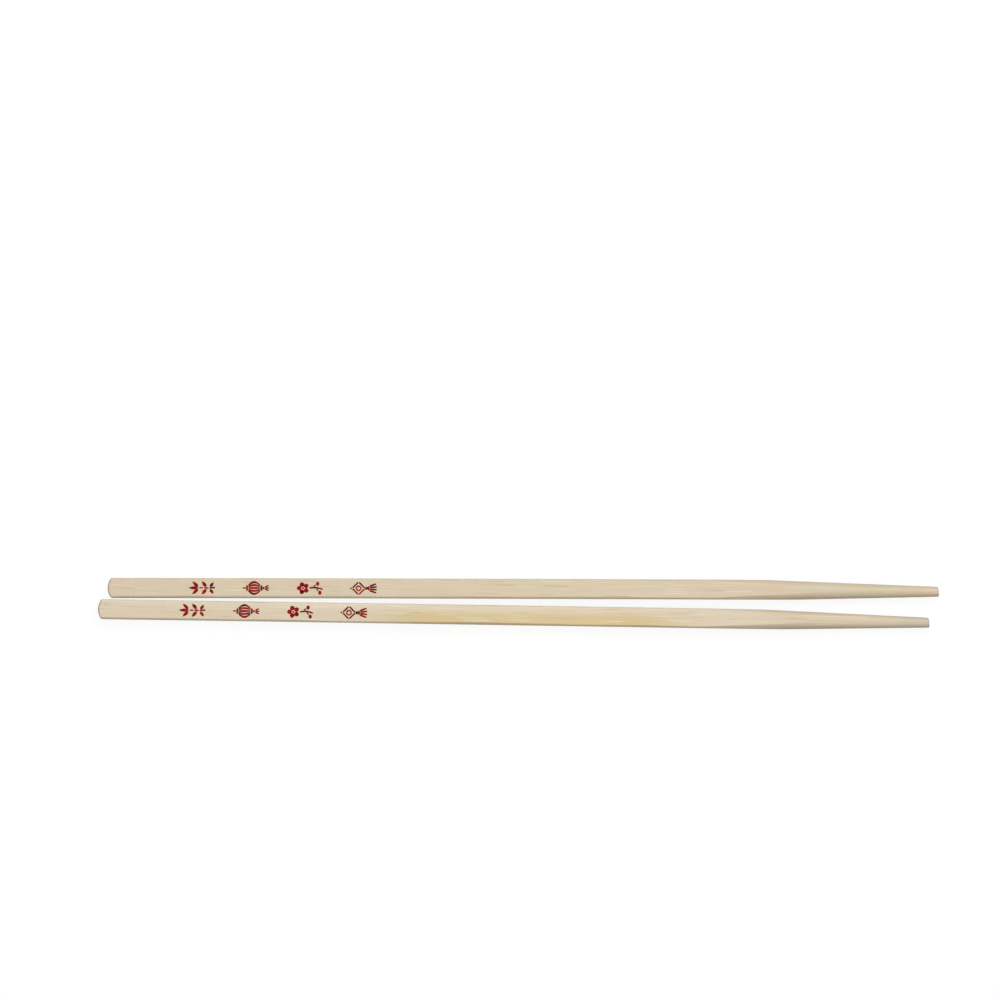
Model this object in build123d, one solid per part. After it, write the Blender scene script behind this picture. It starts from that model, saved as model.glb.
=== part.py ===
from build123d import *
import os
from math import cos, radians, tan

# A pair of bamboo chopsticks, laid side by side on a table with their butts together.
# Each is one strip of bamboo: a planed bar with eased long edges and a crowned butt,
# whose front end is turned to a slim cone that runs out into the four flats in long arches.
# Millimetres and degrees. +X runs from the butts to the tips, +Y to the rear chopstick, +Z up.
# The origin is on the table, in the middle of the pair.

# Driving dimensions of one chopstick
LENGTH = 240.0            # over all, from the top of the butt's crown to the tip
BODY_WIDTH = 5.6          # across the broad faces, which lie up and down
BODY_HEIGHT = 4.9         # from one broad face to the other
LONG_EDGE_RADIUS = 0.6    # the eased long edges
BUTT_CROWN_HEIGHT = 0.9   # from the sides of the butt to the top of its crown, seen from above
BUTT_RIM_RADIUS = 0.35    # the sanded rim all round the crown
CONE_ANGLE = 3.5          # between opposite sides of the turned cone
TIP_DIAMETER = 2.85       # of the cone where it ends
TIP_RIM_RADIUS = 0.35     # the sanded rim of the tip
TRIM_ALLOWANCE = 5.0      # of bar at each end, before the butt and the tip are cut to shape

# How the pair lies
BUTT_GAP = 0.55           # between the two butts
SPREAD_ANGLE = 0.7        # between the two chopsticks, open towards the tips
STAGGER = 2.7             # how far the front chopstick lies back


def planed_bar():
    """The strip as planed: a rounded rectangle drawn along +X, too long at both ends."""
    section = RectangleRounded(BODY_WIDTH, BODY_HEIGHT, LONG_EDGE_RADIUS)
    start = Plane.YZ.offset(-TRIM_ALLOWANCE)
    return extrude(start * section, LENGTH + 2 * TRIM_ALLOWANCE)


def crown_envelope():
    """A wide bar whose end at the origin is rounded in plan, which the butt is sanded to."""
    side = BODY_WIDTH / 2
    crown_radius = (side**2 + BUTT_CROWN_HEIGHT**2) / (2 * BUTT_CROWN_HEIGHT)
    end = LENGTH + 2 * TRIM_ALLOWANCE
    crown = CenterArc((crown_radius, 0), crown_radius, 90, 180)
    first, last = (crown_radius, -crown_radius), (crown_radius, crown_radius)
    sides = Polyline(first, (end, -crown_radius), (end, crown_radius), last)
    return extrude(make_face(crown + sides), BODY_HEIGHT, both=True)


def cone_envelope():
    """The cone that the front end is turned to, from the tip back past the butt."""
    tip_radius = TIP_DIAMETER / 2
    height = LENGTH + TRIM_ALLOWANCE
    back_radius = tip_radius + height * tan(radians(CONE_ANGLE / 2))
    upright = Cone(back_radius, tip_radius, height, align=(Align.CENTER, Align.CENTER, Align.MIN))
    cone = Plane.YZ.offset(-TRIM_ALLOWANCE) * upright
    tip_edge = cone.edges().filter_by(GeomType.CIRCLE).sort_by(Axis.X)[-1]
    return fillet(tip_edge, TIP_RIM_RADIUS)


def chopstick():
    """One chopstick along +X, with the top of its butt's crown at the origin."""
    crowned = planed_bar() & crown_envelope()
    crown_face = crowned.faces().sort_by(Axis.X)[0]
    crowned = fillet(crown_face.edges(), BUTT_RIM_RADIUS)
    return crowned & cone_envelope()


def laid_on_table(side):
    """One chopstick of the pair: side is 1 for the rear one and -1 for the front one."""
    turn = SPREAD_ANGLE / 2
    butt_x = side * STAGGER / 2 - LENGTH * cos(radians(turn)) / 2
    butt_y = side * (BODY_WIDTH * cos(radians(turn)) + BUTT_GAP) / 2
    return Pos(butt_x, butt_y, BODY_HEIGHT / 2) * Rot(0, 0, side * turn) * chopstick()


pair = {
    "rear_chopstick": laid_on_table(1),
    "front_chopstick": laid_on_table(-1),
}

os.makedirs("parts", exist_ok=True)
for node, solid in pair.items():
    export_step(solid, f"parts/{node}.step")
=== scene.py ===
"""A pair of bamboo chopsticks on a white table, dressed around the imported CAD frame.

Each chopstick is one strip of bamboo, grown by a Geometry Nodes tree from the same sizes as its solid.
On each, four small red ornaments are printed in a row. Sizes are in millimetres until a mesh is placed.
"""
import logging
from dataclasses import dataclass
from enum import Enum
from math import cos, hypot, pi, radians, sin, sqrt, tan
from typing import Any, Dict, List, Optional, Sequence, Tuple, Union

import bmesh
import bpy
from mathutils import Matrix, Vector


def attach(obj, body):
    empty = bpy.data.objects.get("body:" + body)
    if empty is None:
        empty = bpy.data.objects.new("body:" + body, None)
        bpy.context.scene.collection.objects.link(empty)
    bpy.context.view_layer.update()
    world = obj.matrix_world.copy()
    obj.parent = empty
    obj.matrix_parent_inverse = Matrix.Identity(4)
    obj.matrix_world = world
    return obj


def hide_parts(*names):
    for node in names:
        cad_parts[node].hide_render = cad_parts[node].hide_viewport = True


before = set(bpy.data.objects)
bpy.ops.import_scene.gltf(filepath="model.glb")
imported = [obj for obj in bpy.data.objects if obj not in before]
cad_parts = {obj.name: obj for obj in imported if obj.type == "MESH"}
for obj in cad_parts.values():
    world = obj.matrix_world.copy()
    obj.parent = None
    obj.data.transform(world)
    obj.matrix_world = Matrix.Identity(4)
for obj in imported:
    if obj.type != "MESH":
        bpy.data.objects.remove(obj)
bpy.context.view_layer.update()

LOG = logging.getLogger("chopsticks")
MILLIMETRE = 0.001
TINY = 0.00001          # keeps a comparison clear of the value that it is about
NOISE_MEAN = 0.5

Colour = Tuple[float, float, float]
Triple = Tuple[float, float, float]
Spot = Tuple[float, float]
Limits = Tuple[float, float]


class Wire:
    """An output socket of a node tree, with arithmetic that adds Math nodes."""

    def __init__(self, graph: "Graph", socket: bpy.types.NodeSocket) -> None:
        """Keep the socket and the graph that it belongs to."""
        self.graph = graph
        self.socket = socket

    def other(self, output: str) -> "Wire":
        """Give another output of the same node."""
        return Wire(self.graph, self.socket.node.outputs[output])

    def __add__(self, value: "Term") -> "Wire":
        """Add."""
        return self.graph.math("ADD", self, value)

    def __radd__(self, value: "Term") -> "Wire":
        """Add, reflected."""
        return self.graph.math("ADD", value, self)

    def __sub__(self, value: "Term") -> "Wire":
        """Subtract."""
        return self.graph.math("SUBTRACT", self, value)

    def __rsub__(self, value: "Term") -> "Wire":
        """Subtract, reflected."""
        return self.graph.math("SUBTRACT", value, self)

    def __mul__(self, value: "Term") -> "Wire":
        """Multiply."""
        return self.graph.math("MULTIPLY", self, value)

    def __rmul__(self, value: "Term") -> "Wire":
        """Multiply, reflected."""
        return self.graph.math("MULTIPLY", value, self)

    def __truediv__(self, value: "Term") -> "Wire":
        """Divide."""
        return self.graph.math("DIVIDE", self, value)

    def __rtruediv__(self, value: "Term") -> "Wire":
        """Divide, reflected."""
        return self.graph.math("DIVIDE", value, self)


Term = Union[Wire, float]


class Graph:
    """A node tree under construction."""

    def __init__(self, tree: bpy.types.NodeTree) -> None:
        """Work on the given tree."""
        self.tree = tree

    def add(self, kind: str, settings: Optional[Dict[str, Any]] = None,
            sockets: Optional[Dict[Union[int, str], Any]] = None, output: Union[int, str] = 0) -> Wire:
        """Add one node.

        Args:
            kind: The node's type.
            settings: Properties to set first.
            sockets: Values or wires of the inputs, by name or place.
            output: Which output to hand back.

        Returns:
            The chosen output as a wire.
        """
        node = self.tree.nodes.new(kind)
        for name, value in (settings or {}).items():
            setattr(node, name, value)
        for key, value in (sockets or {}).items():
            if isinstance(value, Wire):
                self.tree.links.new(value.socket, node.inputs[key])
            else:
                node.inputs[key].default_value = value
        return Wire(self, node.outputs[output] if node.outputs else None)

    def math(self, operation: str, *values: Term) -> Wire:
        """Add a Math node on the given values."""
        return self.add("ShaderNodeMath", {"operation": operation}, dict(enumerate(values)))

    def root(self, value: Wire) -> Wire:
        """Give a number's square root, or 0 where it is negative."""
        return self.math("SQRT", self.math("MAXIMUM", value, 0.0))

    def rise(self, value: Term, low: float, high: float) -> Wire:
        """Go smoothly from 0 at low to 1 at high."""
        return self.add("ShaderNodeMapRange", {"interpolation_type": "SMOOTHSTEP"},
                        {"Value": value, "From Min": low, "From Max": high})

    def vector(self, x: Term, y: Term, z: Term = 0.0) -> Wire:
        """Join three numbers to a vector."""
        return self.add("ShaderNodeCombineXYZ", None, {"X": x, "Y": y, "Z": z})

    def split(self, vector: Wire) -> Tuple[Wire, Wire, Wire]:
        """Give a vector's three numbers."""
        first = self.add("ShaderNodeSeparateXYZ", None, {0: vector})
        return first, first.other("Y"), first.other("Z")

    def seen(self) -> Wire:
        """Mark what the eye sees, straight, reflected or through glass.

        Returns:
            1 for such a ray of light, 0 for the others.
        """
        ray = self.add("ShaderNodeLightPath", None, None, "Is Camera Ray")
        reflected, through = ray.other("Is Glossy Ray"), ray.other("Is Transmission Ray")
        return self.math("MAXIMUM", ray, self.math("MAXIMUM", reflected, through))

    def noise(self, place: Wire, detail: float = 1.0, output: str = "Fac") -> Wire:
        """Give smooth noise around NOISE_MEAN that changes over about one unit."""
        return self.add("ShaderNodeTexNoise", {"noise_dimensions": "3D"},
                        {"Vector": place, "Scale": 1.0, "Detail": detail}, output)


class ShadeGraph(Graph):
    """A material's node tree."""

    def __init__(self, name: str) -> None:
        """Start an empty material.

        Args:
            name: The material's name.
        """
        self.material = bpy.data.materials.new(name)
        self.material.use_nodes = True
        self.material.node_tree.nodes.clear()
        super().__init__(self.material.node_tree)

    def blend(self, factor: Term, first: Union[Wire, Colour], second: Union[Wire, Colour]) -> Wire:
        """Mix two colours.

        Args:
            factor: 0 for the first colour, 1 for the second.
            first: A colour or a wire that carries one.
            second: A colour or a wire that carries one.

        Returns:
            The mixed colour.
        """
        ends = [end if isinstance(end, Wire) else (*end, 1.0) for end in (first, second)]
        return self.add("ShaderNodeMix", {"data_type": "RGBA"}, {0: factor, 6: ends[0], 7: ends[1]}, 2)

    def dim(self, colour: Wire, amount: Wire) -> Wire:
        """Multiply a colour by a number."""
        return self.add("ShaderNodeVectorMath", {"operation": "SCALE"}, {0: colour, "Scale": amount})

    def local(self, placing: Matrix) -> Wire:
        """Read Object coordinates in a strip's own frame, in millimetres from its butt.

        Args:
            placing: The matrix that lays the strip on the table.

        Returns:
            A vector of the distances along the strip, across it and up.
        """
        inverse = placing.inverted()
        turn = inverse.to_3x3().normalized().to_euler()
        place = self.add("ShaderNodeTexCoord", None, None, "Object")
        return self.add("ShaderNodeMapping", {"vector_type": "POINT"}, {
            "Vector": place, "Location": inverse.translation, "Rotation": turn,
            "Scale": inverse.to_scale()})

    def close(self, shader: Wire) -> bpy.types.Material:
        """Feed the shader to the output and hand back the material."""
        self.add("ShaderNodeOutputMaterial", None, {"Surface": shader})
        return self.material


class FormGraph(Graph):
    """A Geometry Nodes tree with named inputs for its sizes."""

    def __init__(self, name: str) -> None:
        """Start an empty tree.

        Args:
            name: The name of the tree and of the piece that it makes.
        """
        super().__init__(bpy.data.node_groups.new(name, "GeometryNodeTree"))
        self.name = name
        self.values: Dict[str, Any] = {}
        self.entry = self.tree.nodes.new("NodeGroupInput")
        self.tree.interface.new_socket("Geometry", in_out="OUTPUT", socket_type="NodeSocketGeometry")

    def size(self, name: str, value: Any, kind: str = "NodeSocketFloat") -> Wire:
        """Add a named input.

        Args:
            name: The input's name.
            value: What the modifier sets it to.
            kind: The type of its socket.

        Returns:
            The input as a wire.
        """
        item = self.tree.interface.new_socket(name, in_out="INPUT", socket_type=kind)
        self.values[item.identifier] = value
        return Wire(self, self.entry.outputs[name])

    def moved(self, geometry: Wire, place: Wire) -> Wire:
        """Set the position of every point."""
        return self.add("GeometryNodeSetPosition", None, {"Geometry": geometry, "Position": place})

    def piece(self, geometry: Wire, material: bpy.types.Material) -> bpy.types.Object:
        """Close the tree and turn its result into an object with a plain mesh.

        Args:
            geometry: What the tree has made.
            material: The finish that it gets.

        Returns:
            The object, with no modifier left on it.
        """
        whole = self.add("GeometryNodeRealizeInstances", None, {"Geometry": geometry})
        dressed = self.add("GeometryNodeSetMaterial", None, {"Geometry": whole, "Material": material})
        self.add("NodeGroupOutput", None, {"Geometry": dressed})
        carrier = bpy.data.objects.new(self.name, bpy.data.meshes.new(self.name))
        bpy.context.scene.collection.objects.link(carrier)
        modifier = carrier.modifiers.new(self.name, "NODES")
        modifier.node_group = self.tree
        for identifier, value in self.values.items():
            modifier[identifier] = value
        view = bpy.context.evaluated_depsgraph_get()
        mesh = bpy.data.meshes.new_from_object(carrier.evaluated_get(view), depsgraph=view)
        carrier.modifiers.remove(modifier)
        carrier.data = mesh
        return carrier


def turn_outwards(mesh: bpy.types.Mesh, smooth: bool) -> None:
    """Point a closed mesh's faces outwards.

    Args:
        mesh: The mesh to change.
        smooth: Whether its faces are shaded smooth.
    """
    work = bmesh.new()
    work.from_mesh(mesh)
    bmesh.ops.recalc_face_normals(work, faces=work.faces)
    for face in work.faces:
        face.smooth = smooth
    work.to_mesh(mesh)
    work.free()


class Place(Enum):
    """Where a chopstick of the pair lies."""

    REAR = 1
    FRONT = -1


@dataclass(frozen=True)
class Grain:
    """A natural variation that is drawn out along a strip."""

    along: float                      # over what length it changes
    across: float                     # over what width
    up: float                         # over what height
    detail: float = 2.0               # 1 for a soft change, 2 for one with finer changes in it

    def read(self, graph: Graph, place: Wire, shift: Triple, output: str = "Fac") -> Wire:
        """Read the variation.

        Args:
            graph: The tree to add it to.
            place: The place in the strip's own frame.
            shift: What keeps it unlike the others and unlike the other strip's.
            output: "Fac" for one number, "Color" for three.

        Returns:
            Noise around NOISE_MEAN.
        """
        scale = (1.0 / self.along, 1.0 / self.across, 1.0 / self.up)
        drawn = graph.add("ShaderNodeVectorMath", {"operation": "MULTIPLY_ADD"},
                          {0: place, 1: scale, 2: shift})
        return graph.noise(drawn, self.detail, output)


@dataclass(frozen=True)
class Tint:
    """A broad patch of another tone along a strip: mostly natural colour, but over the turned cone partly
    painted shade.
    """

    start: float                      # where it has faded in, from the butt
    end: float                        # where it starts to fade out
    fade: float                       # how far it takes to fade
    colour: Colour
    amount: float
    side: float = 0.0                 # 1 from the rear edge on, -1 from the front one, 0 for all the face
    reach: float = 0.0                # how far past the middle line it comes from that edge
    soft: float = 1.5                 # how far from there it has faded

    def mask(self, graph: ShadeGraph, x: Wire, y: Wire, waver: Wire) -> Wire:
        """Mark the patch.

        Args:
            graph: The material's tree.
            x: Distance along the strip.
            y: Distance across it.
            waver: How far the patch's inner side wanders.

        Returns:
            1 in the middle of the patch, 0 outside it.
        """
        patch = graph.rise(x, self.start - self.fade, self.start)
        patch = patch * (1.0 - graph.rise(x, self.end, self.end + self.fade))
        if self.side:
            inwards = y * self.side + waver + self.reach
            patch = patch * graph.rise(inwards, -self.soft, self.soft)
        return patch


@dataclass(frozen=True)
class BambooFinish:
    """Planed and sanded bamboo: a solid of pith with fibre bundles running along it."""

    name: str
    pith: Colour                      # the ground between the bundles
    straw: Colour                     # broad warmer patches
    rosy: Colour                      # faint flushes
    green: Colour                     # where the culm was young
    pale: Colour                      # bundles planed clean
    brown: Colour                     # bundles that have kept their skin
    seed: float
    tints: Tuple[Tint, ...] = ()
    straw_limits: Limits = (0.4, 0.68)        # where the patches start, and are whole
    straw_streak: float = 0.6                 # how far their outlines are streaked
    flush: float = 0.5                        # share of rosy or green where it is strongest
    flush_limits: Limits = (0.5, 0.75)
    tint_streak: float = 0.9                  # how far the inner side of a tint is streaked
    tint_patch: float = 0.5                   # how uneven a tint is
    shade_streak: float = 0.12                # how much lighter or darker a fibre is than the next
    broad_grain: Grain = Grain(42.0, 4.5, 4.5)
    stripe_grain: Grain = Grain(90.0, 0.9, 0.9)
    fibre_grain: Grain = Grain(16.0, 0.15, 0.15)
    hue_grain: Grain = Grain(24.0, 3.5, 3.5, 1.0)
    bundle_pitch: float = 0.62                # between neighbouring bundles, in the middle
    bundle_edge: Limits = (0.12, 0.34)        # where a bundle's section starts to fade, and ends
    crowding: float = 0.05                    # how much closer they stand to the rear, the culm's skin
    lean: Spot = (0.012, 0.035)               # of the bundles to the strip's axis, across and up
    drift: float = 0.75                       # how far a bundle wanders
    drift_grain: Grain = Grain(18.0, 5.0, 5.0, 1.0)
    show_run: float = 8.0                     # over what length a bundle comes into sight and goes
    show_apart: float = 40.0                  # how little its neighbours do so with it
    show_limits: Limits = (0.56, 0.8)         # what it takes to be seen, and be seen whole
    gathering: float = 0.5                    # how much those in sight stand together
    gathering_grain: Grain = Grain(30.0, 2.5, 2.5, 1.0)
    pale_tones: Limits = (0.42, 0.6)          # above which a bundle is pale
    brown_tones: Limits = (0.3, 0.42)         # below which it is brown
    pale_share: float = 0.8                   # of its own colour in a strong bundle
    brown_share: float = 0.6
    vessel_share: float = 0.8
    weakest: Triple = (0.5, 0.4, 0.3)         # what the weakest has of its section, pale and brown
    sawn: Colour = (0.62, 0.5, 0.345)         # end grain between the bundles
    vessel: Colour = (0.33, 0.22, 0.13)       # the bundles' cut ends
    butt_grain: Limits = (0.06, 0.22)         # how deep under the crown end grain is whole, and gone
    tip_grain: Limits = (0.5, 0.12)           # how far before the sawn tip it starts, and is whole
    groove_depth: float = 0.008               # of a bundle under the planed face
    fibre_relief: float = 0.35                # of the fibres, as a share of that
    roughness: float = 0.56
    fibre_roughness: float = 0.2              # how much a fibre may differ
    bundle_gloss: float = 0.08                # how much smoother a bundle is
    sawn_roughness: float = 0.2               # how much rougher the end grain is
    specular: float = 0.35

    def bundles(self, graph: ShadeGraph, place: Wire) -> Tuple[Wire, Wire, Wire, Wire]:
        """Mark the fibre bundles.

        Args:
            graph: The material's tree.
            place: The place in the strip's own frame.

        Returns:
            Masks of every bundle's section, of the bundles that show, of the pale ones and of the
            brown ones.
        """
        x, y, z = graph.split(place)
        wander = graph.split(self.drift_grain.read(graph, place, (0.0, self.seed, 0.0), "Color"))
        across = y * (1.0 + y * self.crowding) + x * self.lean[0] + wander[0] * self.drift
        height = z + x * self.lean[1] + wander[1] * self.drift
        cell = graph.add("ShaderNodeTexVoronoi", {"voronoi_dimensions": "2D", "feature": "F1"}, {
            "Vector": graph.vector(across / self.bundle_pitch + self.seed, height / self.bundle_pitch),
            "Scale": 1.0})
        tone, strength, length = graph.split(cell.other("Color"))

        def from_weakest(least: float) -> Wire:
            """Go from the least share in the weakest bundle to 1 in the strongest."""
            return least + strength * (1.0 - least)

        run = graph.noise(graph.vector(
            x / self.show_run, tone * self.show_apart, length * self.show_apart))
        gathered = self.gathering_grain.read(graph, place, (0.0, 0.0, self.seed))
        section = 1.0 - graph.rise(cell, *self.bundle_edge)
        core = section * graph.rise(run + gathered * self.gathering, *self.show_limits)
        pale = core * graph.rise(tone, *self.pale_tones)
        brown = core * (1.0 - graph.rise(tone, *self.brown_tones))
        shares = [from_weakest(least) for least in self.weakest]
        return section * shares[0], core, pale * shares[1], brown * shares[2]

    def end_grain(self, graph: ShadeGraph, place: Wire, stick: "Chopstick") -> Wire:
        """Mark the crown of the butt and the sawn end of the tip.

        Args:
            graph: The material's tree.
            place: The place in the strip's own frame.
            stick: The chopstick that the strip belongs to.

        Returns:
            1 where the fibres are cut across, 0 elsewhere.
        """
        x, y, z = graph.split(place)
        butt = 1.0 - graph.rise(x - stick.swell(y) - stick.roll(z), *self.butt_grain)
        square = x + (y + stick.tip_diameter / 2) * tan(radians(stick.tip_slant))
        start, whole = (stick.length - before for before in self.tip_grain)
        return graph.math("MAXIMUM", butt, graph.rise(square, start, whole))

    def ground(self, graph: ShadeGraph, place: Wire, stripe: Wire) -> Wire:
        """Colour the pith between the bundles.

        Args:
            graph: The material's tree.
            place: The place in the strip's own frame.
            stripe: Long narrow streaks, around 0.

        Returns:
            The colour, with its patches, flushes and tints.
        """
        x, y = graph.split(place)[:2]
        broad = self.broad_grain.read(graph, place, (self.seed, 0.0, 0.0))
        hue = self.hue_grain.read(graph, place, (0.0, 2 * self.seed, 0.0))
        patches = graph.rise(broad + stripe * self.straw_streak, *self.straw_limits)
        colour = graph.blend(patches, self.pith, self.straw)
        for strength, tone in ((hue, self.green), (1.0 - hue, self.rosy)):
            colour = graph.blend(graph.rise(strength, *self.flush_limits) * self.flush, colour, tone)
        uneven = 1.0 + (broad - NOISE_MEAN) * self.tint_patch
        for tint in self.tints:
            patch = tint.mask(graph, x, y, stripe * self.tint_streak)
            colour = graph.blend(patch * uneven * tint.amount, colour, tint.colour)
        return colour

    def material(self, stick: "Chopstick") -> bpy.types.Material:
        """Make the material for a chopstick's strip.

        Args:
            stick: The chopstick, which says where the strip lies and where it ends.

        Returns:
            The bamboo material.
        """
        graph = ShadeGraph(self.name)
        place = graph.local(stick.placing())
        section, core, pale, brown = self.bundles(graph, place)
        cut = self.end_grain(graph, place, stick)
        stripe = self.stripe_grain.read(graph, place, (0.0, self.seed, 0.0)) - NOISE_MEAN
        fibre = self.fibre_grain.read(graph, place, (0.0, 0.0, self.seed)) - NOISE_MEAN
        colour = self.ground(graph, place, stripe)
        colour = graph.blend(pale * self.pale_share, colour, self.pale)
        colour = graph.blend(brown * self.brown_share, colour, self.brown)
        colour = graph.dim(colour, 1.0 + (fibre + stripe) * self.shade_streak)
        end = graph.blend(section * self.vessel_share, self.sawn, self.vessel)
        colour = graph.blend(cut, colour, end)
        relief = graph.add("ShaderNodeBump", None, {
            "Strength": 1.0, "Distance": self.groove_depth * MILLIMETRE,
            "Height": fibre * self.fibre_relief - core})
        roughness = self.roughness + fibre * self.fibre_roughness
        roughness = roughness - core * self.bundle_gloss + cut * self.sawn_roughness
        return graph.close(graph.add("ShaderNodeBsdfPrincipled", None, {
            "Base Color": colour, "Roughness": roughness, "Normal": relief,
            "Specular IOR Level": self.specular}))


@dataclass(frozen=True)
class InkFinish:
    """Red stamping ink on bare bamboo, dry along the grain in places."""

    name: str
    red: Colour
    maroon: Colour                    # where the ink lies thick
    worn: Colour                      # where the bamboo shows through
    dryness: float                    # the higher, the more worn streaks
    seed: float
    pool_grain: Grain = Grain(1.5, 0.9, 1.0)
    pool_limits: Limits = (0.44, 0.65)    # where the ink starts to be thick, and is
    streak_grain: Grain = Grain(1.8, 0.22, 1.0)
    streak_limits: Limits = (0.68, 0.8)   # where it starts to be worn, and is worn off
    pool_wear: float = 0.3            # how much more thick ink is worn
    roughness: float = 0.48
    worn_roughness: float = 0.15      # how much rougher it is where it is worn
    specular: float = 0.05

    def material(self, placing: Matrix) -> bpy.types.Material:
        """Make the material for a print on a strip that lies where the matrix puts it.

        Args:
            placing: The matrix that lays the strip on the table.

        Returns:
            The ink material.
        """
        graph = ShadeGraph(self.name)
        place = graph.local(placing)
        pool = self.pool_grain.read(graph, place, (0.0, self.seed, 0.0))
        streak = self.streak_grain.read(graph, place, (0.0, 0.0, self.seed))
        wear = streak + (pool - NOISE_MEAN) * self.pool_wear + self.dryness
        bare = graph.rise(wear, *self.streak_limits)
        colour = graph.blend(graph.rise(pool, *self.pool_limits), self.red, self.maroon)
        colour = graph.blend(bare, colour, self.worn)
        return graph.close(graph.add("ShaderNodeBsdfPrincipled", None, {
            "Base Color": colour, "Roughness": self.roughness + bare * self.worn_roughness,
            "Specular IOR Level": self.specular}))


@dataclass
class Chopstick:
    """One strip of bamboo: planed bar, crowned butt, and a turned cone that ends in the tip."""

    place: Place
    finish: BambooFinish
    bow: float                        # sideways, at mid-length
    cone_shift: float                 # of the turned cone's axis at the tip, to the front
    tip_slant: float                  # of the sawn tip, in degrees
    edge_wear: float                  # most that the long edges are sanded down by hand
    length: float = 240.0
    width: float = 5.6
    height: float = 4.9
    edge_radius: float = 0.6
    crown_height: float = 0.9         # from the sides of the butt to the top of its crown
    butt_rim: float = 0.35            # how far the crown is rolled back at the broad faces
    cone_angle: float = 3.5           # between opposite sides, in degrees
    tip_diameter: float = 2.85
    tip_rim: float = 0.35
    butt_gap: float = 0.55            # between the two butts
    spread_angle: float = 0.7         # between the two chopsticks, in degrees
    stagger: float = 2.7              # how far the front one lies back
    shift_run: Limits = (150.0, 255.0)    # along which the cone's axis leaves the middle
    shift_share: float = 0.93         # the part of the way that it has gone at the tip
    slant_run: float = 2.5            # how far before the tip the slant of the saw cut starts
    wear_run: float = 34.0            # over what length the wear of an edge changes
    wear_apart: Spot = (5.0, 9.0)     # how little the four edges wear alike
    wear_limits: Limits = (0.35, 0.75)    # where the wear starts, and is at its most
    wear_detail: float = 2.0
    stations: int = 470               # rings along the strip
    quarter: int = 42                 # steps in a quarter of a ring
    side_run: int = 10                # of them on half a side
    face_run: int = 14                # and on half a broad face
    crowding: float = 0.98            # how much closer the rings stand at both ends
    pole: float = 0.002               # where the first ring stands on the crown
    least_flat: float = 0.3           # half the run that a flat keeps on the cone

    @property
    def node(self) -> str:
        """Give the name of the CAD node that this strip stands for."""
        return f"{self.place.name.lower()}_chopstick"

    @property
    def reach(self) -> float:
        """Give the distance from the axis to a long edge."""
        bend = (self.width / 2 - self.edge_radius, self.height / 2 - self.edge_radius)
        return hypot(*bend) + self.edge_radius

    def swell(self, y: Wire) -> Wire:
        """Give how far the butt's crown falls back at a distance across the strip."""
        return y * y * (self.crown_height / (self.width / 2) ** 2)

    def roll(self, z: Wire) -> Wire:
        """Give how far it falls back at a height from the axis, most of it at the sanded rim."""
        return z * z * z * z * (self.butt_rim / (self.height / 2) ** 4)

    def placing(self) -> Matrix:
        """Work out where the strip lies.

        Returns:
            The matrix that lays it on the table, from millimetres to metres.
        """
        side = self.place.value
        turn = radians(self.spread_angle / 2)
        butt_x = side * self.stagger / 2 - self.length * cos(turn) / 2
        butt_y = side * (self.width * cos(turn) + self.butt_gap) / 2
        butt = Matrix.Translation((butt_x, butt_y, self.height / 2))
        return Matrix.Scale(MILLIMETRE, 4) @ butt @ Matrix.Rotation(side * turn, 4, "Z")

    def blank(self, form: FormGraph, length: Wire) -> Wire:
        """Draw a round tube of unit radius along +X, whose rings stand closer at both ends.

        Args:
            form: The strip's tree.
            length: Its length over all.

        Returns:
            The tube as a closed mesh.
        """
        line = form.add("GeometryNodeCurvePrimitiveLine", {"mode": "POINTS"}, {
            "End": form.vector(length, 0.0)})
        path = form.add("GeometryNodeResampleCurve", {"mode": "COUNT"}, {
            "Curve": line, "Count": form.size("Stations", self.stations, "NodeSocketInt")})
        run = form.add("GeometryNodeSplineParameter", None, None, "Factor")
        crowded = length * (run - form.math("SINE", run * (2 * pi)) * (self.crowding / (2 * pi)))
        path = form.moved(path, form.vector(form.math("MAXIMUM", crowded, self.pole), 0.0))
        path = form.add("GeometryNodeSetCurveNormal", {"mode": "Z_UP"}, {"Curve": path})
        ring = form.add("GeometryNodeCurvePrimitiveCircle", {"mode": "RADIUS"}, {
            "Resolution": form.size("Around", 4 * self.quarter, "NodeSocketInt"), "Radius": 1.0})
        return form.add("GeometryNodeCurveToMesh", None, {
            "Curve": path, "Profile Curve": ring, "Fill Caps": True})

    def cone_radius(self, form: FormGraph, x: Wire, length: Wire) -> Wire:
        """Give the turned cone's radius at a station, with the sanded rim of the tip.

        Args:
            form: The strip's tree.
            x: The station's distance from the butt.
            length: The strip's length over all.

        Returns:
            The radius.
        """
        rim = form.size("Tip rim", self.tip_rim)
        into_rim = form.math("MAXIMUM", x - length + rim, 0.0)
        drop = rim - form.root(rim * rim - into_rim * into_rim)
        slope = tan(radians(self.cone_angle / 2))
        return form.size("Tip diameter", self.tip_diameter) / 2.0 + (length - x) * slope - drop

    def worn_reach(self, form: FormGraph, x: Wire, rear: Wire, upper: Wire) -> Wire:
        """Give the reach of a long edge, which the sander has eased here more, there less.

        Args:
            form: The strip's tree.
            x: Distance from the butt.
            rear: 1 on the rear edges, -1 on the front ones.
            upper: 1 on the upper edges, -1 on the lower ones.

        Returns:
            The distance from the axis.
        """
        apart = (rear * self.wear_apart[0], upper * self.wear_apart[1])
        run = form.vector(x / self.wear_run + self.finish.seed, *apart)
        uneven = form.rise(form.noise(run, self.wear_detail), *self.wear_limits)
        return self.reach - uneven * form.size("Edge wear", self.edge_wear)

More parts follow.
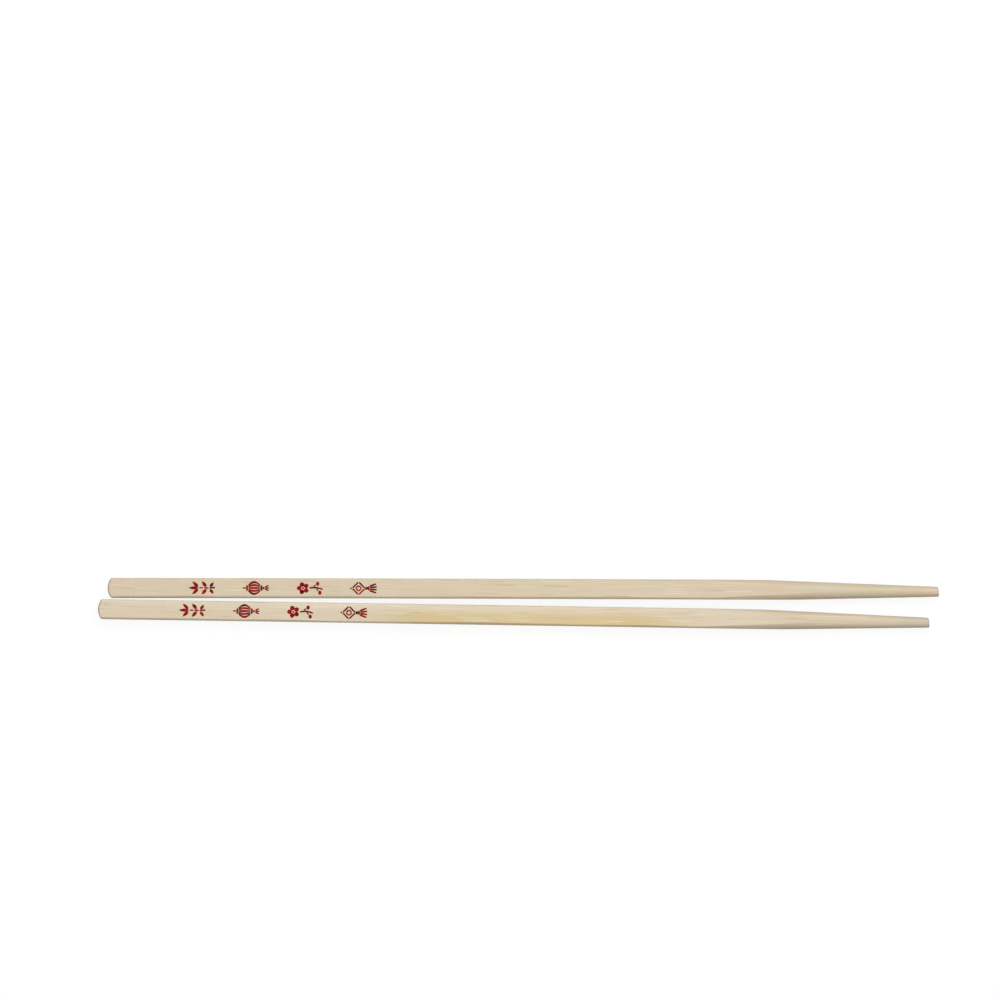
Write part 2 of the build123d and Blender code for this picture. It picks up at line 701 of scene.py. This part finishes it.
    def section(self, form: FormGraph, place: Wire, length: Wire) -> Wire:
        """Bring a point of the tube to its place on the planed and turned section.

        A quarter of a ring has three runs: half a side, the eased edge or the cone, and half a broad face.
        The lines between them follow the arches in which the cone runs out into the flats.

        Args:
            form: The strip's tree.
            place: Where a point of the tube is.
            length: The strip's length over all.

        Returns:
            Where it is afterwards.
        """
        x, y, z = form.split(place)
        rear = form.math("GREATER_THAN", y, -TINY) * 2.0 - 1.0
        upper = form.math("GREATER_THAN", z, -TINY) * 2.0 - 1.0
        turn = form.math("ARCTAN2", z * upper, y * rear) / (pi / 2)
        half_width = form.size("Width", self.width) / 2.0
        half_height = form.size("Height", self.height) / 2.0
        edge = form.size("Edge radius", self.edge_radius)
        shift = form.size("Cone shift", self.cone_shift) * form.rise(x, *self.shift_run)
        centre = 0.0 - shift * rear * (1.0 / self.shift_share)
        radius = self.cone_radius(form, x, length)

        def chord(distance: Wire) -> Wire:
            """Give half the cone's chord at a distance from its axis."""
            return form.root(radius * radius - distance * distance)

        side_share = self.side_run / self.quarter
        face_share = self.face_run / self.quarter
        side_half = form.math("MINIMUM", half_height - edge, form.math(
            "MAXIMUM", chord(half_width - centre), self.least_flat))
        side_z = side_half * form.math("MINIMUM", turn / side_share, 1.0)
        side_y = form.math("MINIMUM", half_width, centre + chord(side_z))
        face_half = form.math("MINIMUM", half_width - edge - centre, form.math(
            "MAXIMUM", chord(half_height), self.least_flat))
        face_run = face_half * form.math("MINIMUM", (1.0 - turn) / face_share, 1.0)
        face_z = form.math("MINIMUM", half_height, chord(face_run))
        face_y = centre + face_run

        first = form.math("ARCTAN2", side_z, side_y - centre)
        last = form.math("ARCTAN2", face_z, face_run)
        heading = first + (last - first) * ((turn - side_share) / (1.0 - side_share - face_share))
        way_y, way_z = form.math("COSINE", heading), form.math("SINE", heading)
        bend_y, bend_z = half_width - edge - centre, half_height - edge
        towards = way_y * bend_y + way_z * bend_z
        beside = towards * towards - bend_y * bend_y - bend_z * bend_z + edge * edge
        eased = towards + form.root(beside)
        planed = form.math("MINIMUM", (half_width - centre) / way_y, half_height / way_z)
        past_side = form.math("GREATER_THAN", planed * way_z, bend_z)
        past_face = form.math("GREATER_THAN", planed * way_y, bend_y)
        limit = form.math("MINIMUM", radius, self.worn_reach(form, x, rear, upper))
        out = form.math("MINIMUM", planed + (eased - planed) * past_side * past_face, limit)

        on_side = form.math("LESS_THAN", turn, side_share - TINY)
        on_face = form.math("GREATER_THAN", turn, 1.0 - face_share + TINY)
        on_edge = 1.0 - on_side - on_face
        new_y = side_y * on_side + face_y * on_face + (centre + way_y * out) * on_edge
        new_z = side_z * on_side + face_z * on_face + way_z * out * on_edge
        return form.vector(x, new_y * rear, new_z * upper)

    def crowned(self, form: FormGraph, place: Wire) -> Wire:
        """Sand the butt to its crown.

        A ring of the strip shrinks until it lies on the crown. There, with the square of its share as u,
        its station is swell * u + roll * u * u, and u is the positive root of that.

        Args:
            form: The strip's tree.
            place: Where a point of the turned strip is.

        Returns:
            Where it is afterwards.
        """
        x, y, z = form.split(place)
        swell = self.swell(y)
        square = x * 2.0 / (swell + form.root(swell * swell + self.roll(z) * x * 4.0))
        across = form.root(y * y + z * z)
        crown_limit = across * form.root(square)
        limited = form.math("SMOOTH_MIN", across, crown_limit, form.size("Butt rim", self.butt_rim))
        share = form.math("MINIMUM", limited / across, 1.0)
        return form.vector(x, y * share, z * share)

    def set_in_growth(self, form: FormGraph, place: Wire, length: Wire) -> Wire:
        """Bow the strip a little and saw its tip a little off square.

        Args:
            form: The strip's tree.
            place: Where a point of the turned strip is.
            length: The strip's length over all.

        Returns:
            Where it is afterwards.
        """
        x, y, z = form.split(place)
        bowed = y + form.size("Bow", self.bow) * form.math("SINE", x / length * pi)
        slant = form.size("Tip slant", tan(radians(self.tip_slant)))
        sawn = form.rise(x, self.length - self.slant_run, self.length) * slant
        return form.vector(x - sawn * (y + self.tip_diameter / 2), bowed, z)

    def build(self) -> bpy.types.Object:
        """Grow the strip, lay it on the table and let it stand for its solid.

        Returns:
            The finished strip.
        """
        form = FormGraph(f"{self.place.name.lower()}_strip")
        length = form.size("Length", self.length)
        tube = self.blank(form, length)
        place = self.section(form, form.add("GeometryNodeInputPosition"), length)
        place = self.set_in_growth(form, self.crowned(form, place), length)
        strip = form.piece(form.moved(tube, place), self.finish.material(self))
        strip.data.transform(self.placing())
        turn_outwards(strip.data, True)
        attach(strip, "root")
        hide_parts(self.node)
        return strip


class Motif(Enum):
    """The ornaments of the print, from the butt on."""

    SPRIG = "bamboo sprig"
    LANTERN = "paper lantern"
    BLOSSOM = "plum blossom on its twig"
    KNOT = "tasselled knot"


@dataclass(frozen=True)
class Stroke:
    """A brush stroke: a line with a width at each of its points."""

    points: Tuple[Spot, ...]
    widths: Tuple[float, ...]


FINEST = 0.05           # width of a stroke where it runs out
LEAF_BULGE = 0.85       # under 1, a leaf is fullest before its middle
LEAF = 0.9              # the fullness of a leaf
PETAL = 0.35            # of a petal
RIB = 0.45              # of a lantern's rib
THREAD = 0.2            # and of a tassel's thread


def swept(start: Spot, end: Spot, width: float, sag: float = 0.0, fullness: float = 0.0,
          samples: int = 15) -> Stroke:
    """Draw a stroke from start to end.

    Args:
        start: Its first point, along the strip and across it.
        end: Its last point.
        width: Its greatest width.
        sag: How far its middle swings to the left of the way from start to end.
        fullness: 0 for an even line with rounded ends, 1 for a leaf that is pointed at both ends.
        samples: How many points it has.

    Returns:
        The stroke.
    """
    run = (end[0] - start[0], end[1] - start[1])
    reach = hypot(*run)
    left = (-run[1] / reach, run[0] / reach)
    points, widths = [], []
    for step in range(samples):
        t = step / (samples - 1)
        swing = sag * sin(pi * t)
        points.append((start[0] + run[0] * t + left[0] * swing, start[1] + run[1] * t + left[1] * swing))
        to_end = min(t, 1 - t) * reach / (width / 2)
        rounded = sqrt(max(0.0, 1 - max(0.0, 1 - to_end) ** 2))
        leafy = sin(pi * t ** LEAF_BULGE)
        widths.append(max(FINEST, width * (rounded * (1 - fullness) + leafy * fullness)))
    return Stroke(tuple(points), tuple(widths))


def spot(centre: Spot, radius: float) -> Stroke:
    """Draw a round dot."""
    return swept((centre[0] - radius, centre[1]), (centre[0] + radius, centre[1]), 2 * radius, samples=17)


def fan(centre: Spot, headings: Sequence[float], near: float, far: float, width: float,
        fullness: float) -> List[Stroke]:
    """Draw strokes that point away from a centre.

    Args:
        centre: The point that they leave.
        headings: Their directions in degrees, 0 towards the tip and 90 towards the rear.
        near: Where they start, from the centre.
        far: Where they end.
        width: Their greatest width.
        fullness: 0 for even lines, 1 for leaves.

    Returns:
        The strokes.
    """
    strokes = []
    for heading in headings:
        way = (cos(radians(heading)), sin(radians(heading)))
        start, end = ((centre[0] + way[0] * away, centre[1] + way[1] * away) for away in (near, far))
        strokes.append(swept(start, end, width, fullness=fullness))
    return strokes


def sprig() -> List[Stroke]:
    """Draw a bamboo sprig: a jointed stem with leaves in pairs and one at its top.

    Returns:
        Its strokes, around the ornament's middle.
    """
    top = (-0.7, 0.0)
    stem = [swept((3.8, 0.14), (2.15, -0.06), width=0.42),
            swept((1.95, -0.06), (0.55, 0.04), width=0.38),
            swept((0.35, 0.04), (-0.75, 0.0), width=0.34)]
    leaves = fan((2.05, -0.06), (52, 308), near=0.42, far=2.1, width=0.74, fullness=LEAF)
    leaves += fan((1.6, 0.0), (131, 229), near=0.42, far=2.5, width=0.84, fullness=LEAF)
    leaves += fan(top, (180,), near=0.25, far=3.15, width=0.8, fullness=LEAF)
    leaves += fan(top, (138, 222), near=0.5, far=2.75, width=0.78, fullness=LEAF)
    return stem + leaves


def lantern() -> List[Stroke]:
    """Draw a paper lantern: two caps, curved ribs between them, a cord and a tassel.

    Returns:
        Its strokes, around the ornament's middle.
    """
    caps = [swept((place, -0.85), (place, 0.85), width=0.46) for place in (-2.55, 1.6)]
    ribs = [swept((-2.25, foot), (1.3, foot), width=0.54, sag=swing, fullness=RIB) for foot, swing in
            ((-0.74, -0.95), (-0.38, -0.46), (0.0, 0.0), (0.38, 0.46), (0.74, 0.95))]
    cord = [swept((-3.8, 0.0), (-2.86, 0.0), width=0.34)]
    tassel = [spot((2.2, 0.0), radius=0.32)]
    tassel += fan((1.9, 0.0), (-22, 0, 22), near=0.74, far=1.95, width=0.36, fullness=THREAD)
    return caps + ribs + cord + tassel


def blossom() -> List[Stroke]:
    """Draw a plum blossom: five round petals, their heart, and a twig with two buds.

    Returns:
        Its strokes, around the ornament's middle.
    """
    heart, count = (-1.95, 0.0), 5
    headings = [360 / count * (turn + 0.5) for turn in range(count)]
    petals = fan(heart, headings, near=0.42, far=1.82, width=1.12, fullness=PETAL)
    twig = [swept((-0.2, 0.02), (3.8, -0.35), width=0.42, sag=0.3),
            swept((1.0, 0.5), (1.8, 0.95), width=0.3),
            swept((1.9, -0.2), (2.45, -0.8), width=0.3)]
    buds = [spot((2.25, 1.3), radius=0.5), spot((2.9, -1.3), radius=0.5)]
    return petals + [spot(heart, radius=0.27)] + twig + buds


def knot() -> List[Stroke]:
    """Draw a tasselled knot: lozenges inside each other, a cord and a tassel.

    Returns:
        Its strokes, around the ornament's middle.
    """
    middle, inset = -1.5, 0.05
    strokes = []
    for half, width in ((1.86, 0.4), (0.84, 0.36)):
        corners = [(middle - half, 0.0), (middle, half), (middle + half, 0.0), (middle, -half)]
        for first, second in zip(corners, corners[1:] + corners[:1]):
            gap = ((second[0] - first[0]) * inset, (second[1] - first[1]) * inset)
            strokes.append(swept((first[0] + gap[0], first[1] + gap[1]),
                                 (second[0] - gap[0], second[1] - gap[1]), width))
    strokes.append(swept((-3.95, 0.0), (-3.42, 0.0), width=0.4))
    strokes.append(spot((0.74, 0.0), radius=0.4))
    strokes.append(swept((1.38, -0.62), (1.38, 0.62), width=0.46))
    strokes += fan((-0.2, 0.0), (-19, -6.5, 6.5, 19), near=1.9, far=4.05, width=0.44, fullness=THREAD)
    return strokes


DRAWINGS = {Motif.SPRIG: sprig, Motif.LANTERN: lantern, Motif.BLOSSOM: blossom, Motif.KNOT: knot}


@dataclass
class Print:
    """The row of ornaments stamped on the upper face of a chopstick."""

    chopstick: Chopstick
    finish: InkFinish
    first: float = 27.3               # middle of the first ornament, from the butt
    pitch: float = 15.56              # from one ornament to the next
    weight: float = 1.18              # how much wider than drawn the strokes are printed
    film: float = 0.016               # how far the ink stands on the face
    root: float = 0.03                # how far it is let into it

    def strokes_on_face(self) -> bpy.types.Object:
        """Lay out every stroke as a curve on the upper face.

        Returns:
            A curve object whose radius is each stroke's width, in metres.
        """
        curve = bpy.data.curves.new("strokes", "CURVE")
        curve.dimensions = "3D"
        placing = self.chopstick.placing()
        for number, motif in enumerate(Motif):
            middle = self.first + number * self.pitch
            for stroke in DRAWINGS[motif]():
                line = curve.splines.new("POLY")
                line.points.add(len(stroke.points) - 1)
                for point, (along, across), width in zip(line.points, stroke.points, stroke.widths):
                    on_face = Vector((middle + along, across, self.chopstick.height / 2))
                    point.co = (*(placing @ on_face), 1.0)
                    point.radius = width * self.weight * MILLIMETRE
        layout = bpy.data.objects.new("strokes", curve)
        bpy.context.scene.collection.objects.link(layout)
        return layout

    def build(self, strip: bpy.types.Object) -> bpy.types.Object:
        """Stamp the ornaments on the strip.

        Args:
            strip: The finished strip that carries the print.

        Returns:
            The finished print.
        """
        layout = self.strokes_on_face()
        form = FormGraph(f"{self.chopstick.place.name.lower()}_print")
        lines = form.add("GeometryNodeObjectInfo", {"transform_space": "ORIGINAL"}, {
            "Object": form.size("Strokes", layout, "NodeSocketObject")}, "Geometry")
        face = form.add("GeometryNodeObjectInfo", {"transform_space": "ORIGINAL"}, {
            "Object": form.size("Strip", strip, "NodeSocketObject")}, "Geometry")
        lines = form.add("GeometryNodeSetCurveNormal", {"mode": "Z_UP"}, {"Curve": lines})
        tool = form.add("GeometryNodeCurvePrimitiveQuadrilateral", None, {"Width": 1.0, "Height": 1.0})
        slabs = form.add("GeometryNodeCurveToMesh", None, {
            "Curve": lines, "Profile Curve": tool, "Scale": form.add("GeometryNodeInputRadius"),
            "Fill Caps": True})
        x, y, z = form.split(form.add("GeometryNodeInputPosition"))
        table_to_face = self.chopstick.height * MILLIMETRE
        hit = form.add("GeometryNodeRaycast", None, {
            "Target Geometry": face, "Source Position": form.vector(x, y, 2 * table_to_face),
            "Ray Direction": (0.0, 0.0, -1.0), "Ray Length": 2 * table_to_face}, "Hit Position")
        ground = form.split(hit)[2]
        root = form.size("Root", self.root * MILLIMETRE)
        film = form.size("Film", self.film * MILLIMETRE)
        upper = form.math("GREATER_THAN", z, table_to_face)
        slabs = form.moved(slabs, form.vector(x, y, ground - root + upper * (root + film)))
        stamped = form.piece(slabs, self.finish.material(self.chopstick.placing()))
        bpy.data.objects.remove(layout)
        turn_outwards(stamped.data, False)
        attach(stamped, "root")
        return stamped


@dataclass(frozen=True)
class TableFinish:
    """A white table top that stays white to the eye and keeps a soft shadow."""

    name: str = "white_table"
    bounce: Colour = (0.24, 0.24, 0.24)   # what it gives back to the strips
    shadow_share: float = 0.13        # how much of the shadow the eye sees
    glow: float = 0.89                # the white that it shows without light

    def material(self) -> bpy.types.Material:
        """Make the table's material.

        Returns:
            The table's material.
        """
        graph = ShadeGraph(self.name)
        matt = graph.add("ShaderNodeBsdfDiffuse", None, {"Color": (*self.bounce, 1.0)})
        share = self.shadow_share
        lit = graph.add("ShaderNodeBsdfDiffuse", None, {"Color": (share, share, share, 1.0)})
        glow = graph.add("ShaderNodeEmission", None, {"Strength": self.glow})
        shown = graph.add("ShaderNodeAddShader", None, {0: lit, 1: glow})
        return graph.close(graph.add("ShaderNodeMixShader", None, {0: graph.seen(), 1: matt, 2: shown}))


@dataclass(frozen=True)
class Lamp:
    """A square window of light that faces the pair."""

    name: str
    watts: float
    side: float                       # in metres, as its distance
    distance: float
    elevation: float                  # in degrees, as its azimuth
    azimuth: float                    # 0 at the tips, 90 straight behind

    def build(self) -> bpy.types.Object:
        """Hang the lamp.

        Returns:
            The lamp, which the camera doesn't see.
        """
        light = bpy.data.lights.new(self.name, "AREA")
        light.energy = self.watts
        light.size = self.side
        azimuth, elevation = radians(self.azimuth), radians(self.elevation)
        way = Vector((cos(azimuth) * cos(elevation), sin(azimuth) * cos(elevation), sin(elevation)))
        lamp = bpy.data.objects.new(self.name, light)
        lamp.location = way * self.distance
        lamp.rotation_euler = way.to_track_quat("Z", "Y").to_euler()
        lamp.visible_camera = False
        bpy.context.scene.collection.objects.link(lamp)
        return lamp


@dataclass
class Studio:
    """The table, a little light all round, a large lamp overhead and a smaller one from the back."""

    finish: TableFinish = TableFinish()
    table_side: float = 6.0
    table_drop: float = 0.00002       # of the table under the strips, in metres
    fill: float = 0.38                # strength of the light all round
    lamps: Tuple[Lamp, ...] = (
        Lamp("overhead", watts=12.2, side=2.0, distance=1.5, elevation=90.0, azimuth=90.0),
        Lamp("key", watts=6.3, side=0.7, distance=1.2, elevation=53.0, azimuth=72.0))

    def table(self) -> bpy.types.Object:
        """Lay the table.

        Returns:
            The table.
        """
        half = self.table_side / 2
        mesh = bpy.data.meshes.new("table")
        corners = [(-half, -half), (half, -half), (half, half), (-half, half)]
        mesh.from_pydata([(x, y, -self.table_drop) for x, y in corners], [], [(0, 1, 2, 3)])
        mesh.materials.append(self.finish.material())
        table = bpy.data.objects.new("table", mesh)
        bpy.context.scene.collection.objects.link(table)
        return table

    def surroundings(self) -> None:
        """Fill the room with even light that looks white."""
        world = bpy.data.worlds.new("room")
        world.use_nodes = True
        world.node_tree.nodes.clear()
        graph = Graph(world.node_tree)
        strength = self.fill + graph.seen() * (1.0 - self.fill)
        light = graph.add("ShaderNodeBackground", None, {"Strength": strength})
        graph.add("ShaderNodeOutputWorld", None, {"Surface": light})
        bpy.context.scene.world = world

    def build(self) -> bpy.types.Object:
        """Set up the table and the light.

        Returns:
            The table.
        """
        bpy.context.scene.view_settings.view_transform = "Standard"
        self.surroundings()
        for lamp in self.lamps:
            lamp.build()
        return self.table()


@dataclass
class PhotoCamera:
    """The camera over the table, where the photograph was taken from."""

    spot: Triple = (-0.0056373, -0.0571848, 1.2435102)    # in metres
    lens: float = 154.8               # focal length, in millimetres
    sensor: float = 36.0              # width, in millimetres
    nearest: float = 0.01             # how near it can see, in metres
    tilt: float = 4.0                 # back from straight down, in degrees
    roll: float = 0.5288              # about its own axis, in degrees

    def build(self) -> bpy.types.Object:
        """Set up the camera and make it the scene's.

        Returns:
            The camera.
        """
        tilt, roll = radians(self.tilt), radians(self.roll)
        forward = Vector((0.0, sin(tilt), -cos(tilt)))
        level = Vector((1.0, 0.0, 0.0))
        upright = level.cross(forward)
        right = level * cos(roll) + upright * sin(roll)
        up = upright * cos(roll) - level * sin(roll)
        lens = bpy.data.cameras.new("camera")
        lens.lens = self.lens
        lens.sensor_width = self.sensor
        lens.clip_start = self.nearest
        camera = bpy.data.objects.new("camera", lens)
        turned = Matrix((right, up, -forward)).transposed()
        camera.matrix_world = Matrix.Translation(self.spot) @ turned.to_4x4()
        bpy.context.scene.collection.objects.link(camera)
        bpy.context.scene.camera = camera
        return camera


REAR_BAMBOO = BambooFinish(
    name="rear_bamboo", seed=3.7,
    pith=(0.69, 0.58, 0.415), straw=(0.68, 0.55, 0.385),
    rosy=(0.71, 0.555, 0.41), green=(0.665, 0.585, 0.385),
    pale=(0.8, 0.71, 0.5), brown=(0.44, 0.32, 0.2),
    # the first tint, over the turned cone, is partly the bamboo's own tone and partly painted shade
    tints=(Tint(start=205.0, end=245.0, fade=15.0, colour=(0.65, 0.565, 0.41), amount=0.6),
           Tint(start=217.0, end=226.0, fade=6.0, colour=(0.62, 0.53, 0.31), amount=0.4),
           Tint(start=232.0, end=245.0, fade=6.0, colour=(0.66, 0.48, 0.32), amount=0.6,
                side=-1.0, reach=0.5)))

FRONT_BAMBOO = BambooFinish(
    name="front_bamboo", seed=11.2,
    pith=(0.715, 0.61, 0.45), straw=(0.7, 0.585, 0.42),
    rosy=(0.74, 0.585, 0.44), green=(0.685, 0.61, 0.42),
    pale=(0.82, 0.73, 0.52), brown=(0.48, 0.34, 0.2),
    tints=(Tint(start=95.0, end=155.0, fade=20.0, colour=(0.68, 0.515, 0.255), amount=0.8,
                side=-1.0, reach=1.1),
           Tint(start=-10.0, end=185.0, fade=12.0, colour=(0.77, 0.665, 0.51), amount=0.6,
                side=1.0, reach=-0.8),
           # this tint, over the turned cone, is partly the bamboo's own tone and partly painted shade
           Tint(start=205.0, end=245.0, fade=20.0, colour=(0.65, 0.54, 0.385), amount=0.7),
           Tint(start=234.0, end=245.0, fade=6.0, colour=(0.57, 0.51, 0.4), amount=0.6)))

REAR_INK = InkFinish(
    name="rear_ink", seed=1.3, dryness=-0.01,
    red=(0.36, 0.004, 0.003), maroon=(0.04, 0.002, 0.0015), worn=(0.45, 0.1, 0.07))

FRONT_INK = InkFinish(
    name="front_ink", seed=6.1, dryness=0.05,
    red=(0.32, 0.005, 0.004), maroon=(0.045, 0.002, 0.0015), worn=(0.48, 0.13, 0.09))


def report(piece: bpy.types.Object) -> None:
    """Log a finished piece's name and number of faces."""
    LOG.info("%s: %d faces", piece.name, len(piece.data.polygons))


def main() -> None:
    """Build the pair, their prints, the studio and the camera."""
    logging.basicConfig(level=logging.INFO, format="%(name)s: %(message)s")
    rear = Chopstick(Place.REAR, REAR_BAMBOO, bow=0.12, cone_shift=0.34, tip_slant=6.0, edge_wear=0.13)
    front = Chopstick(Place.FRONT, FRONT_BAMBOO, bow=0.05, cone_shift=0.22, tip_slant=6.0, edge_wear=0.17)
    for chopstick, ink in ((rear, REAR_INK), (front, FRONT_INK)):
        strip = chopstick.build()
        report(strip)
        report(Print(chopstick, ink).build(strip))
    report(Studio().build())
    PhotoCamera().build()
    bpy.context.view_layer.update()


if __name__ == "__main__":
    main()
